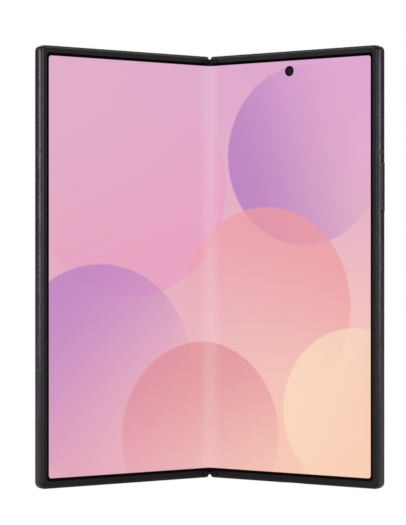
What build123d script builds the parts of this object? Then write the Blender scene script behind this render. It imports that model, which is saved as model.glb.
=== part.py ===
"""Foldable smartphone, half open, standing on the lower edges of its two halves.

Frame of the model: X to the right, Y away from the viewer, Z up, in millimetres.
The origin is on the standing surface, in the middle of what the phone covers. Each half is drawn as it lies
when the phone is flat: u runs outwards from the crease, v up from mid height, w from
the display face towards the viewer. half_plane() then swings that drawing about the
half's own fold axis, which lies in the display face beside the crease.
"""

from build123d import *
import os
from math import cos, pi, radians, sin

# Overall sizes
height = 158.4
half_width = 71.7  # crease to outer side, measured along one half
thickness = 4.55  # one half, front of the rim to the back
corner_radius = 2.4
fold_tilt = 33.0  # degrees that each half is swung forward from flat, as stored

# Fold axes and display stack
axis_offset = 0.9  # from the crease plane to each fold axis
rim_rise = 0.55  # rim in front of the display face
panel_thickness = 0.35
backing_thickness = 0.15
panel_margin = 2.0  # outer edge of the half to the display panel's edge
camera_hole_radius = 1.93
camera_hole_side = 37.2  # outer side of the half to the hole
camera_hole_top = 7.5  # upper edge of the half to the hole
camera_hole_room = 0.4

# Rim that covers the display's edge
rim_inset = 0.6
rim_side_width = 1.84
rim_end_width = 2.15
rim_start = 0.45  # crease plane to the rim, so that the two rims pass each other
rim_seam = 3.2  # crease plane to the seam between the rim and its piece over the hinge
rim_seam_width = 0.15
rim_chamfer = 0.5
display_corner = 1.0

# Frame of each half
facet_depth = 1.1  # sloping front part of the frame's sides
facet_angle = 14.0
crease_gap = 0.15  # crease plane to the frame, when the phone is flat
side_wall = 1.8
end_wall = 2.2
edge_round = 0.25
ear_round = 0.9
ear_height = 0.95  # wall of the frame that covers each end of the hinge
mid_plate = 0.45
glass_thickness = 0.5
glass_ledge = 0.9
bay_corner = 1.5
hinge_wall = 0.7  # frame left between the hinge's recess and the back glass
arm_floor = 0.5  # frame left behind the plates of the hinge arms
strip_margin = 0.65
bay_margin = 0.95
band_width = 1.0
band_margin = 3.2  # rocker to the upper band
lower_band_height = -37.0
fit_gap = 0.05
slide_gap = 0.1

# Hinge housing and its blocks
spine_radius = 3.2
spine_wall = 0.35
spine_clearance = 0.1
cap_length = 0.9
cap_room = 0.06  # between the folded display and the end caps
tenon_length = 2.0
block_room = 0.16  # between the folded display and the hinge blocks
block_length = 17.0
block_station = 55.0  # above and below mid height
gear_block_length = 13.0

# Swing arms, whose curved rails run in the blocks
rail_inner = 1.7
rail_outer = 2.2
rail_end = 150.0  # degrees round the fold axis, from the arm's plate
arm_width = 5.0
arm_offset = 4.0
arm_start = 2.45
arm_end = 8.6
arm_thickness = 0.5
wing_start = 1.5
wing_thickness = 0.25

# Timing gears
pinion_teeth = 12
sector_teeth = 26
pinion_angle = 60.0  # direction from a fold axis to its pinion
gear_addendum = 0.8
gear_dedendum = 1.15
tooth_sink = 0.3  # of the module, from the root circle to where a tooth is rooted
tooth_flare = 0.3
tooth_taper = 0.33
gear_backlash = 0.012
gear_bore = 0.28
shaft_radius = 0.24
idler_length = 1.0
sector_length = 1.2
sector_gap = 0.2
sector_inner = 1.0
strap_depth = 0.95
strap_start = 1.6
strap_lap = 0.3
gear_plate_start = 3.1
gear_plate_length = 4.4
screw_head_radius = 1.0
screw_shank_radius = 0.55
screw_head_height = 0.25
screw_edge = 1.6  # end of an arm to its screw
screw_slot_length = 1.1
screw_slot_width = 0.25

# Side keys
rocker_length = 18.6
rocker_height = 28.5
power_length = 13.3
power_height = 4.2
key_width = 2.1
key_depth = 2.25  # middle of the keys, behind the display face
key_gap = 0.1
key_rise = 0.45
power_rise = 0.05
key_flange = 0.7
key_flange_thickness = 0.35
key_flange_gap = 0.2
flange_corner = 0.3
switch_gap = 0.25
switch_board = 0.4
dome_radius = 0.9
dome_rise = 0.25
dome_taper = 45.0
key_round = 0.12
sensor_inset = 1.2
sensor_thickness = 0.12

# Charging port, in the lower edge of the right half
port_width = 8.34
port_opening = 2.56
port_shell_wall = 0.14
port_depth = 7.35
port_sink = 0.3
port_seat_gap = 0.03
port_corner = 1.2
port_base = 1.2
tongue_width = 6.69
tongue_thickness = 0.7
tongue_length = 4.45

# Card tray, in the upper edge of the left half
tray_side = 21.7  # outer side of the half to the tray's middle
tray_width = 14.4
tray_length = 10.4
tray_thickness = 0.8
tray_depth = 1.95
tray_face_width = 15.4
tray_face_height = 1.5
card_width = 12.3
card_length = 8.8
card_corner = 1.0
eject_side = 1.5  # tray's side to the hole for the eject pin
tray_face = 1.5
eject_radius = 0.45
reader_wall = 0.4

# Rear cameras, in the right half
island_side = 14.4  # outer side of the half to the lenses' line
island_width = 18.4
island_rise = 1.1
lens_top = 14.2  # upper edge of the half to the first lens
lens_pitch = 17.5
lens_count = 3
lens_ring_radius = 7.4
lens_ring_wall = 0.7
lens_ring_rise = 0.9
lens_glass_thickness = 0.5
module_size = 10.6
barrel_radius = 4.2
flash_drop = 12.4  # last lens to the flash
flash_radius = 1.7
flash_margin = 6.0
island_round = 0.5
module_back = 3.25
module_corner = 0.8
aperture_radius = 2.9
aperture_depth = 0.7
aperture_taper = 30.0

# Cameras behind the display and the cover glass
inner_module = 6.0
inner_module_back = 3.1
lens_sink = 0.05
cover_panel_thickness = 0.45
cover_panel_margin = 0.4
cover_camera_side = 6.8
cover_camera_top = 7.2
cover_camera_radius = 1.7

# Boards, batteries and other fillings
part_gap = 0.1
column_margin = 3.8  # deep bay's inner side to the battery and board
battery_gap = 3.0
board_thickness = 0.55
coil_radius = 14.5
coil_hole_radius = 8.0
coil_thickness = 0.12
battery_corner = 2.0
cover_battery_side = 5.8
board_top_margin = 1.0
board_length = 36.0
board_corner = 1.0
cover_board_gap = 4.0
cover_board_width = 22.0
cover_board_length = 22.0
speaker_side = 3.8
speaker_width = 22.0
speaker_length = 18.0
speaker_margin = 2.0
speaker_corner = 1.2
speaker_count = 6
speaker_pitch = 1.9
speaker_radius = 0.55
earpiece_start = 12.6
earpiece_width = 14.0
earpiece_length = 6.5
earpiece_margin = 0.75
earpiece_count = 5
mic_u = 24.0
mic_radius = 0.4
motor_width = 9.0
can_height = 1.1
can_corner = 0.5
# Middle and size of each shield, as shares of the board's width and length
can_layout = (
    (-0.294, 0.111, 0.353, 0.556),
    (0.22, -0.083, 0.44, 0.333),
    (0.353, 0.278, 0.206, 0.25),
    (-0.074, -0.083, 0.074, 0.389),
)

# Worked out from the sizes above
tilt = radians(fold_tilt)
back_depth = thickness - rim_rise
display_thickness = panel_thickness + backing_thickness
glass_depth = back_depth - glass_thickness
plate_depth = display_thickness + mid_plate
arm_front = display_thickness + wing_thickness
arm_back = arm_front + arm_thickness
strip_depth = arm_back + arm_floor  # back of the frame plate that carries the hinge arms
strip_end = arm_end + strip_margin
bay_start = strip_end + bay_margin
bay_end = half_width - side_wall
bay_top = height / 2 - end_wall
fold_y = ((half_width - axis_offset) * sin(tilt) - back_depth * cos(tilt)) / 2
band_heights = (rocker_height + rocker_length / 2 + band_margin, lower_band_height)
block_stations = (block_station, -block_station)
tray_u = half_width - tray_side
recess_radius = spine_radius + spine_clearance
glass_start = axis_offset + recess_radius + hinge_wall
shallow_bay_start = glass_start + bay_corner / 3
spine_end = height / 2 - ear_height - spine_clearance
spine_lip_depth = arm_back + slide_gap  # top edge of the housing's side walls
flex_half = axis_offset * pi / 2  # half of the strip that bends, laid flat
folded_depth = 2 * axis_offset - flex_half + display_thickness  # back of the folded strip
cap_depth = folded_depth + cap_room
block_depth = folded_depth + block_room
rail_side = rim_inset + rim_side_width
camera_hole_u = half_width - camera_hole_side
camera_hole_v = height / 2 - camera_hole_top

module_share = 1.5 * pinion_teeth - cos(radians(pinion_angle)) * (pinion_teeth + sector_teeth) / 2
gear_module = axis_offset / module_share
pinion_radius = gear_module * pinion_teeth / 2
sector_radius = gear_module * sector_teeth / 2
gear_centre = sector_radius + pinion_radius
pinion_x = axis_offset + gear_centre * cos(radians(pinion_angle))
pinion_y = gear_centre * sin(radians(pinion_angle))
gear_tip = pinion_radius + gear_addendum * gear_module
sector_start = idler_length / 2 + sector_gap
screw_u = arm_end - screw_edge
screw_seat = arm_front + screw_head_height

island_u = half_width - island_side
lens_heights = [height / 2 - lens_top - lens_pitch * index for index in range(lens_count)]
flash_v = lens_heights[-1] - flash_drop
cover_camera_u = bay_start + cover_camera_side
cover_camera_v = height / 2 - cover_camera_top
column_start = bay_start + column_margin
column_end = island_u - module_size / 2 - column_margin
column_u = (column_start + column_end) / 2
column_width = column_end - column_start
board_v = bay_top - board_top_margin - board_length / 2
cover_board_u = bay_start + part_gap + cover_board_width / 2
cover_board_v = cover_camera_v - inner_module / 2 - cover_board_gap - cover_board_length / 2
speaker_u = bay_end - speaker_side - speaker_width / 2
speaker_v = bay_top - speaker_margin - speaker_length / 2  # below mid height
speaker_first = speaker_u - speaker_pitch * (speaker_count - 1) / 2
earpiece_u = bay_start + earpiece_start + earpiece_width / 2
earpiece_v = bay_top - earpiece_margin - earpiece_length / 2
earpiece_first = earpiece_u - speaker_pitch * (earpiece_count - 1) / 2
motor_u = column_start + motor_width / 2
battery_low = -speaker_v + speaker_length / 2 + battery_gap
battery_high = board_v - board_length / 2 - battery_gap
battery_v = (battery_low + battery_high) / 2
battery_height = battery_high - battery_low
cover_battery_width = bay_end - cover_battery_side - column_start
hole_w = -(plate_depth + glass_depth) / 2
port_u = half_width / 2
port_w = -(display_thickness + glass_depth) / 2
port_shell_width = port_width + 2 * port_shell_wall
port_shell_height = port_opening + 2 * port_shell_wall

os.makedirs("parts", exist_ok=True)


def save(builder, name):
    """Labels a finished piece and writes it."""
    builder.part.label = name
    export_step(builder.part, f"parts/{name}.step")


def side_name(side):
    """Name of a half, seen from the front."""
    return "right" if side > 0 else "left"


def across(side):
    """Direction to the right along one half."""
    return Vector(cos(tilt), -side * sin(tilt), 0)


def facing(side):
    """Direction in which one half's display faces."""
    return Vector(-side * sin(tilt), -cos(tilt), 0)


def spot(side, u, v, w):
    """Point at u, v, w of one half."""
    axis = Vector(side * axis_offset, fold_y, height / 2)
    return axis + across(side) * (side * (u - axis_offset)) + Vector(0, 0, v) + facing(side) * w


def fold_plane(z):
    """Level plane at a height, with its origin midway between the two fold axes."""
    return Plane(origin=(0, fold_y, z), x_dir=(1, 0, 0), z_dir=(0, 0, 1))


def half_plane(side, w=0.0):
    """Plane of one half at w: x to the right, y up, normal towards the viewer."""
    return Plane(origin=spot(side, 0, 0, w), x_dir=across(side), z_dir=facing(side))


def side_plane(side, u, v, w):
    """Plane across one half's outer side: x up, normal outwards."""
    return Plane(origin=spot(side, u, v, w), x_dir=(0, 0, 1), z_dir=across(side) * side)


def end_plane(side, end, u, inset, w):
    """Plane across the top or bottom edge of one half: x to the right, normal outwards."""
    return Plane(
        origin=spot(side, u, end * (height / 2 - inset), w), x_dir=across(side), z_dir=(0, 0, end)
    )


def swing_plane(side, v):
    """Plane across the fold axis of one half at v: x to the right along the half, y to its back."""
    return Plane(
        origin=(side * axis_offset, fold_y, height / 2 + v), x_dir=across(side), z_dir=(0, 0, 1)
    )


def patch(side, start, stop, low, high, corner=0.0):
    """Adds a rectangle from u = start to stop and v = low to high to the open sketch."""
    with Locations((side * (start + stop) / 2, (low + high) / 2)):
        if corner:
            RectangleRounded(stop - start, high - low, corner)
        else:
            Rectangle(stop - start, high - low)


def half_outline(side, start, side_inset, end_inset, corner):
    """Adds one half's outline to the open sketch, rounded at its two outer corners."""
    stop = half_width - side_inset
    top = height / 2 - end_inset
    patch(side, start, stop, -top, top)
    if corner > 0:
        points = vertices(Select.LAST).sort_by(Axis.X)
        fillet(points[-2:] if side > 0 else points[:2], corner)


def pocket(side, front, back, start, stop, low, high, corner=0.0):
    """Cuts a rectangular pocket between two depths behind the display face."""
    with BuildSketch(half_plane(side, -back)) as profile:
        patch(side, start, stop, low, high, corner)
    extrude(profile.sketch, amount=back - front, mode=Mode.SUBTRACT)


def block(side, front, back, start, stop, low, high, corner=0.0):
    """Adds a rectangular block between two depths behind the display face."""
    with BuildSketch(half_plane(side, -back)) as profile:
        patch(side, start, stop, low, high, corner)
    extrude(profile.sketch, amount=back - front)


def frame_blank(side):
    """Outer form of one half's frame, before anything is cut from it."""
    for front, length, angle in ((facet_depth, back_depth - facet_depth, 0), (0, facet_depth, facet_angle)):
        with BuildSketch(half_plane(side, -front - length)) as profile:
            half_outline(side, crease_gap, 0, 0, corner_radius)
            inner = vertices().sort_by(Axis.X)
            fillet(inner[:2] if side > 0 else inner[-2:], ear_round)
        extrude(profile.sketch, amount=length, taper=angle)
    back_face = faces().sort_by(Axis(spot(side, 0, 0, 0), facing(side)))[0]
    fillet(back_face.edges(), edge_round)


def frame_pockets(side):
    """Step for the display, room for the hinge, and the bay for what the half holds."""
    deep = back_depth + 1
    with BuildSketch(half_plane(side, -display_thickness)) as profile:
        half_outline(side, -1, panel_margin - fit_gap, panel_margin - fit_gap, corner_radius - panel_margin)
    extrude(profile.sketch, amount=display_thickness, mode=Mode.SUBTRACT)
    strip_top = height / 2 - panel_margin - fit_gap
    pocket(side, 0, arm_front, -1, strip_end, -strip_top, strip_top)
    with BuildSketch(fold_plane(ear_height)) as profile:
        with Locations((side * axis_offset, 0)):
            Circle(recess_radius)
    extrude(profile.sketch, amount=height - 2 * ear_height, mode=Mode.SUBTRACT)
    pocket(side, plate_depth, deep, bay_start, bay_end, -bay_top, bay_top, bay_corner)
    pocket(side, strip_depth, deep, shallow_bay_start, bay_start + 2, -bay_top, bay_top, bay_corner)
    with BuildSketch(half_plane(side, -deep)) as profile:
        half_outline(side, glass_start, glass_ledge, glass_ledge, corner_radius - glass_ledge)
    extrude(profile.sketch, amount=deep - glass_depth, mode=Mode.SUBTRACT)


def arm_spans(side):
    """Lowest and highest v of the two swing arms and the gear arm of one half."""
    middles = [station + side * arm_offset for station in block_stations]
    spans = [(middle - arm_width / 2, middle + arm_width / 2) for middle in middles]
    return spans + [gear_arm_span(side)]


def gear_arm_span(side):
    """Lowest and highest v of the gear arm's plate, wider than its sector to take a screw."""
    near, far = sector_start, sector_start + gear_plate_length
    return (near, far) if side > 0 else (-far, -near)


def screw_hole(side, front, back, radius, low, high):
    """Cuts the round hole of an arm's screw between two depths."""
    with BuildSketch(half_plane(side, -back)) as profile:
        with Locations((side * screw_u, (low + high) / 2)):
            Circle(radius)
    extrude(profile.sketch, amount=back - front, mode=Mode.SUBTRACT)


def arm_pockets(side):
    """Pockets that take the plates of the hinge arms, with the holes of their screws."""
    for low, high in arm_spans(side):
        pocket(side, arm_front, arm_back, 1, arm_end + slide_gap, low - fit_gap, high + fit_gap)
        screw_hole(side, arm_front, strip_depth + 1, screw_shank_radius + fit_gap, low, high)


def sector_span(side):
    """Lowest and highest v of one half's toothed sector."""
    near, far = sector_start, sector_start + sector_length
    return (near, far) if side > 0 else (-far, -near)


def band_slits(side, extra, mode):
    """Slits across the outer wall, or with Mode.INTERSECT all that lies in them."""
    with BuildSketch(half_plane(side, -back_depth - 1)) as profile:
        for middle in band_heights:
            half = band_width / 2 - extra
            patch(side, half_width - side_wall, half_width + 1, middle - half, middle + half)
    extrude(profile.sketch, amount=back_depth + 2, mode=mode)


def key_opening(side, length, middle):
    """Opening for a side key through the outer wall."""
    with BuildSketch(side_plane(side, half_width - side_wall - 1, middle, -key_depth)) as profile:
        SlotOverall(length + 2 * key_gap, key_width + 2 * key_gap)
    extrude(profile.sketch, amount=side_wall + 2, mode=Mode.SUBTRACT)


def edge_holes(side, end, first, count, pitch, radius, w):
    """Row of round holes through the top or bottom wall."""
    with BuildSketch(end_plane(side, end, first, end_wall + 1, w)) as profile:
        for index in range(count):
            with Locations((side * index * pitch, 0)):
                Circle(radius)
    extrude(profile.sketch, amount=end_wall + 2, mode=Mode.SUBTRACT)


# Frames of the two halves, with the bands let into their outer walls

with BuildPart() as left_frame:
    frame_blank(-1)
    frame_pockets(-1)
    arm_pockets(-1)
    band_slits(-1, 0, Mode.SUBTRACT)
    edge_holes(-1, 1, earpiece_first, earpiece_count, speaker_pitch, speaker_radius, hole_w)
    edge_holes(-1, -1, mic_u, 1, speaker_pitch, mic_radius, hole_w)
    with BuildSketch(end_plane(-1, 1, tray_u, end_wall + 1, -tray_depth)):
        SlotOverall(tray_face_width + 2 * key_gap, tray_face_height + 2 * key_gap)
    extrude(amount=end_wall + 2, mode=Mode.SUBTRACT)
save(left_frame, "left_frame")

with BuildPart() as right_frame:
    frame_blank(1)
    frame_pockets(1)
    arm_pockets(1)
    band_slits(1, 0, Mode.SUBTRACT)
    key_opening(1, rocker_length, rocker_height)
    key_opening(1, power_length, power_height)
    edge_holes(1, -1, speaker_first, speaker_count, speaker_pitch, speaker_radius, hole_w)
    edge_holes(1, -1, mic_u, 1, speaker_pitch, mic_radius, hole_w)
    edge_holes(1, 1, mic_u, 1, speaker_pitch, mic_radius, hole_w)
    with BuildSketch(end_plane(1, -1, port_u, port_depth + fit_gap, port_w)):
        RectangleRounded(port_shell_width + fit_gap, port_shell_height, port_corner)
    extrude(amount=port_depth + 1, mode=Mode.SUBTRACT)
    with BuildSketch(half_plane(1, 0)):
        with Locations((camera_hole_u, camera_hole_v)):
            Circle(camera_hole_radius + camera_hole_room)
    extrude(amount=-plate_depth - part_gap, mode=Mode.SUBTRACT)
save(right_frame, "right_frame")

for half_side in (-1, 1):
    with BuildPart() as bands:
        frame_blank(half_side)
        band_slits(half_side, 0, Mode.INTERSECT)
        pocket(
            half_side, glass_depth, back_depth + 1, 0, half_width - glass_ledge, -height / 2, height / 2
        )
    save(bands, f"{side_name(half_side)}_antenna_bands")


# Display: rim, panel, backing plate and the strip that bends

def make_rim(side):
    """Rim round the three outer sides of one half's display."""
    with BuildPart() as rim:
        with BuildSketch(half_plane(side, 0)):
            half_outline(side, rim_start, rim_inset, rim_inset, corner_radius - rim_inset)
        extrude(amount=rim_rise)
        front = faces().sort_by(Axis(spot(side, 0, 0, 0), facing(side)))[-1]
        chamfer(front.edges(), rim_chamfer)
        with BuildSketch(half_plane(side, -1)):
            half_outline(side, -1, rail_side, rim_inset + rim_end_width, display_corner)
        extrude(amount=rim_rise + 2, mode=Mode.SUBTRACT)
        notch = height / 2 - panel_margin + fit_gap
        pocket(side, -rim_rise - 1, 1, -1, flex_half, -notch, notch)
        pocket(side, -rim_rise - 1, 1, rim_seam, rim_seam + rim_seam_width, -height / 2, height / 2)
    save(rim, f"{side_name(side)}_display_rim")


def make_panel(side, front, depth, name):
    """One flat layer of the display, from the bending strip to the outer edge."""
    with BuildPart() as panel:
        with BuildSketch(half_plane(side, -front - depth)):
            half_outline(side, flex_half, panel_margin, panel_margin, corner_radius - panel_margin)
            if side > 0:
                with Locations((camera_hole_u, camera_hole_v)):
                    Circle(camera_hole_radius, mode=Mode.SUBTRACT)
        extrude(amount=depth)
    save(panel, name)


for half_side in (-1, 1):
    make_rim(half_side)
    make_panel(half_side, 0, panel_thickness, f"{side_name(half_side)}_display_panel")
    make_panel(
        half_side, panel_thickness, backing_thickness, f"{side_name(half_side)}_display_backing"
    )

strip_half_x = axis_offset + (flex_half - axis_offset) * cos(tilt)
strip_edge_y = -(flex_half - axis_offset) * sin(tilt)
bend_radius = strip_half_x / sin(tilt)
bend_centre_y = strip_edge_y - bend_radius * cos(tilt)
with BuildPart() as display_bend:
    with BuildSketch(fold_plane(panel_margin)):
        with BuildLine():
            outer = CenterArc(
                (0, bend_centre_y), bend_radius + display_thickness, 90 - fold_tilt, 2 * fold_tilt
            )
            inner = CenterArc((0, bend_centre_y), bend_radius, 90 - fold_tilt, 2 * fold_tilt)
            Line(outer @ 0, inner @ 0)
            Line(outer @ 1, inner @ 1)
        make_face()
    extrude(amount=height - 2 * panel_margin)
save(display_bend, "display_bend")


# Hinge housing, end caps and blocks

def spine_section(radius, top):
    """Adds the housing's section: two arcs about the fold axes, cut off above a depth."""
    SlotCenterToCenter(2 * axis_offset, 2 * radius)
    with Locations((0, top - radius)):
        Rectangle(4 * radius, 2 * radius, mode=Mode.SUBTRACT)


spine_low = height / 2 - spine_end + cap_length
spine_long = 2 * (spine_end - cap_length)

with BuildPart() as hinge_housing:
    with BuildSketch(fold_plane(spine_low)):
        spine_section(spine_radius, spine_lip_depth)
        SlotCenterToCenter(
            2 * axis_offset, 2 * (spine_radius - spine_wall), mode=Mode.SUBTRACT
        )
    extrude(amount=spine_long)
save(hinge_housing, "hinge_housing")

for end in (-1, 1):
    seat = height / 2 + end * (spine_end - cap_length)
    with BuildPart() as hinge_cap:
        with BuildSketch(fold_plane(seat)):
            spine_section(spine_radius, cap_depth)
        extrude(amount=end * cap_length)
        with BuildSketch(fold_plane(seat)):
            spine_section(spine_radius - spine_wall - fit_gap, spine_lip_depth)
        extrude(amount=-end * tenon_length)
    save(hinge_cap, f"hinge_cap_{'top' if end > 0 else 'bottom'}")


def block_body(middle, length):
    """Solid of a hinge block, open above for the display and beside for the arms."""
    with BuildSketch(fold_plane(height / 2 + middle - length / 2)) as profile:
        spine_section(spine_radius - spine_wall - fit_gap, block_depth)
        for side in (-1, 1):
            with Locations((side * (arm_start + spine_radius), 0)):
                Rectangle(2 * spine_radius + 0.2, 2 * spine_lip_depth, mode=Mode.SUBTRACT)
    extrude(profile.sketch, amount=length)


def ring_cut(side, middle, length, inner_radius, outer_radius):
    """Cuts a groove round one fold axis."""
    with BuildSketch(fold_plane(height / 2 + middle - length / 2)) as profile:
        with Locations((side * axis_offset, 0)):
            Circle(outer_radius)
            Circle(inner_radius, mode=Mode.SUBTRACT)
    extrude(profile.sketch, amount=length, mode=Mode.SUBTRACT)


for name, station in zip(("upper", "lower"), block_stations):
    with BuildPart() as hinge_block:
        block_body(station, block_length)
        for side in (-1, 1):
            ring_cut(
                side,
                station + side * arm_offset,
                arm_width + 2 * slide_gap,
                rail_inner - fit_gap,
                rail_outer + fit_gap,
            )
    save(hinge_block, f"hinge_block_{name}")

gear_spots = {
    "left_pinion": (-pinion_x, -1.0),
    "left_idler": (-pinion_radius, 0.0),
    "right_idler": (pinion_radius, 0.0),
    "right_pinion": (pinion_x, 1.0),
}
idler_room = idler_length / 2 + slide_gap / 2
pinion_reach = sector_start + sector_length + slide_gap / 2

with BuildPart() as gear_block:
    block_body(0, gear_block_length)
    for name, (gear_x, side) in gear_spots.items():
        low = -pinion_reach if side < 0 else -idler_room
        high = pinion_reach if side > 0 else idler_room
        with BuildSketch(fold_plane(height / 2 + low)):
            with Locations((gear_x, pinion_y)):
                Circle(gear_tip + fit_gap)
        extrude(amount=high - low, mode=Mode.SUBTRACT)
        with BuildSketch(fold_plane(height / 2 - gear_block_length / 2)):
            with Locations((gear_x, pinion_y)):
                Circle(shaft_radius + fit_gap / 5)
        extrude(amount=gear_block_length, mode=Mode.SUBTRACT)
    for side in (-1, 1):
        ring_cut(
            side,
            side * (sector_start + sector_length / 2),
            sector_length + slide_gap,
            sector_inner - fit_gap,
            sector_radius + gear_addendum * gear_module + fit_gap,
        )
save(gear_block, "gear_block")


# Gears, their shafts and the arms

def gear_tooth(radius, direction, centre):
    """Adds one tooth of a wheel of this pitch radius to the open sketch."""
    root = radius - (gear_dedendum + tooth_sink) * gear_module
    tip = radius + gear_addendum * gear_module
    half = pi * gear_module / 4 - gear_backlash
    root_half = half + tooth_flare * gear_module
    tip_half = half - tooth_taper * gear_module
    corners = [(root, -root_half), (tip, -tip_half), (tip, tip_half), (root, root_half)]
    with Locations(Location((centre[0], centre[1], 0), (0, 0, direction))):
        Polygon(*corners, align=None)


def make_gear(name, gear_x, side, phase):
    """One spur wheel of the timing train, with a bore for its shaft."""
    low = -pinion_reach + slide_gap / 2 if side < 0 else -idler_length / 2
    high = pinion_reach - slide_gap / 2 if side > 0 else idler_length / 2
    with BuildPart() as gear:
        with BuildSketch(fold_plane(height / 2 + low)):
            with Locations((gear_x, pinion_y)):
                Circle(pinion_radius - gear_dedendum * gear_module)
            for index in range(pinion_teeth):
                gear_tooth(pinion_radius, phase + 360 / pinion_teeth * index, (gear_x, pinion_y))
            with Locations((gear_x, pinion_y)):
                Circle(gear_bore, mode=Mode.SUBTRACT)
        extrude(amount=high - low)
    save(gear, name)


half_pitch = 180 / pinion_teeth
for (name, (gear_x, side)), phase in zip(gear_spots.items(), (0, half_pitch, 0, half_pitch)):
    make_gear(name, gear_x, side, phase)

with BuildPart() as gear_shafts:
    with BuildSketch(fold_plane(height / 2 - gear_block_length / 2)):
        for gear_x, side in gear_spots.values():
            with Locations((gear_x, pinion_y)):
                Circle(shaft_radius)
    extrude(amount=gear_block_length)
save(gear_shafts, "gear_shafts")


def half_rotation(side, angle):
    """Mirrors a direction, in degrees from a half's outward direction, for the left half."""
    return angle if side > 0 else 180 - angle


def keep_behind(side, depth, low, high):
    """Cuts off what lies in front of a depth, between two heights."""
    reach = 4 * spine_radius
    with BuildSketch(half_plane(side, -depth)) as profile:
        patch(side, -reach, reach, low - 1, high + 1)
    extrude(profile.sketch, amount=reach, mode=Mode.SUBTRACT)


def ring_wedge(side, inner_radius, outer_radius):
    """Adds the part of a ring from the arm's plate round to the rail's end."""
    with Locations((0, 0)):
        Circle(outer_radius)
        Circle(inner_radius, mode=Mode.SUBTRACT)
    reach = 3 * outer_radius
    end = half_rotation(side, rail_end)
    edge = (reach * cos(radians(end)), reach * sin(radians(end)))
    outside = [(0, 0), edge, (-side * reach, -reach), (side * reach, -reach), (side * reach, 0)]
    with BuildLine() as rest:
        Polyline(*outside, close=True)
    make_face(rest.edges(), mode=Mode.SUBTRACT)


def make_arm(side, station, name):
    """Swing arm: a plate screwed to the half, with the curved rail that runs in the block."""
    middle = station + side * arm_offset
    low, high = middle - arm_width / 2, middle + arm_width / 2
    with BuildPart() as arm:
        with BuildSketch(swing_plane(side, low)):
            ring_wedge(side, rail_inner, rail_outer)
        extrude(amount=arm_width)
        keep_behind(side, arm_front, low, high)
        block(side, arm_front, arm_back, arm_start, arm_end, low, high)
        screw_hole(side, arm_front - 1, screw_seat, screw_head_radius + fit_gap, low, high)
        screw_hole(side, screw_seat, arm_back + 1, screw_shank_radius + fit_gap, low, high)
    save(arm, name)


def make_gear_arm(side):
    """Arm with the toothed sector that drives the timing train."""
    low, high = sector_span(side)
    root = sector_radius - gear_dedendum * gear_module
    step = 360 / sector_teeth
    phase = pinion_angle + fold_tilt + (0 if side > 0 else step / 2)
    angles = [phase + step * index for index in range(-sector_teeth // 2, sector_teeth // 2)]
    with BuildPart() as arm:
        with BuildSketch(swing_plane(side, low)):
            ring_wedge(side, sector_inner, root)
            for angle in angles:
                if pinion_angle - step < angle < rail_end:
                    gear_tooth(sector_radius, half_rotation(side, angle), (0, 0))
        extrude(amount=high - low)
        front = display_thickness + fit_gap
        keep_behind(side, front, low, high)
        block(side, front, strap_depth, strap_start, gear_plate_start + strap_lap, low, high)
        low, high = gear_arm_span(side)
        block(side, arm_front, arm_back, gear_plate_start, arm_end, low, high)
        screw_hole(side, arm_front - 1, screw_seat, screw_head_radius + fit_gap, low, high)
        screw_hole(side, screw_seat, arm_back + 1, screw_shank_radius + fit_gap, low, high)
    save(arm, f"{side_name(side)}_gear_arm")


for half_side in (-1, 1):
    half_name = side_name(half_side)
    for name, station in zip(("upper", "lower"), block_stations):
        make_arm(half_side, station, f"{half_name}_arm_{name}")
    make_gear_arm(half_side)
    with BuildPart() as wing:
        wing_top = height / 2 - panel_margin - 2 * fit_gap
        wing_end = strip_end - fit_gap
        block(half_side, display_thickness, arm_front, wing_start, wing_end, -wing_top, wing_top)
        low, high = sector_span(half_side)
        notch_end = gear_plate_start + strap_lap + slide_gap
        pocket(half_side, 0, 1, 0, notch_end, low - slide_gap, high + slide_gap)
    save(wing, f"{half_name}_wing_plate")


# Back covers

glass_inset = glass_ledge + fit_gap
glass_corner = corner_radius - glass_ledge

with BuildPart() as cover_glass:
    with BuildSketch(half_plane(-1, -back_depth)):
        half_outline(-1, glass_start + fit_gap, glass_inset, glass_inset, glass_corner)
    extrude(amount=glass_thickness)
save(cover_glass, "cover_glass")

with BuildPart() as back_glass:
    with BuildSketch(half_plane(1, -back_depth)):
        half_outline(1, glass_start + fit_gap, glass_inset, glass_inset, glass_corner)
        for lens_v in lens_heights:
            with Locations((island_u, lens_v)):
                Circle(barrel_radius + slide_gap, mode=Mode.SUBTRACT)
        with Locations((island_u, flash_v)):
            Circle(flash_radius + slide_gap, mode=Mode.SUBTRACT)
    extrude(amount=glass_thickness)
save(back_glass, "back_glass")


# Screws of the hinge arms

for half_side in (-1, 1):
    with BuildPart() as arm_screws:
        for low, high in arm_spans(half_side):
            with BuildSketch(half_plane(half_side, -screw_seat)):
                with Locations((half_side * screw_u, (low + high) / 2)):
                    Circle(screw_head_radius)
            extrude(amount=screw_head_height)
            with BuildSketch(half_plane(half_side, -strip_depth)):
                with Locations((half_side * screw_u, (low + high) / 2)):
                    Circle(screw_shank_radius)
            extrude(amount=strip_depth - screw_seat)
            with BuildSketch(half_plane(half_side, -screw_seat + screw_head_height / 2)):
                with Locations((half_side * screw_u, (low + high) / 2)):
                    Rectangle(screw_slot_length, screw_slot_width)
                    Rectangle(screw_slot_width, screw_slot_length)
            extrude(amount=screw_head_height, mode=Mode.SUBTRACT)
    save(arm_screws, f"{side_name(half_side)}_arm_screws")


# Rear cameras

island_low = flash_v - flash_margin
island_high = lens_heights[0] + island_width / 2
island_top = back_depth + island_rise
ring_top = island_top + lens_ring_rise

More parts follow.
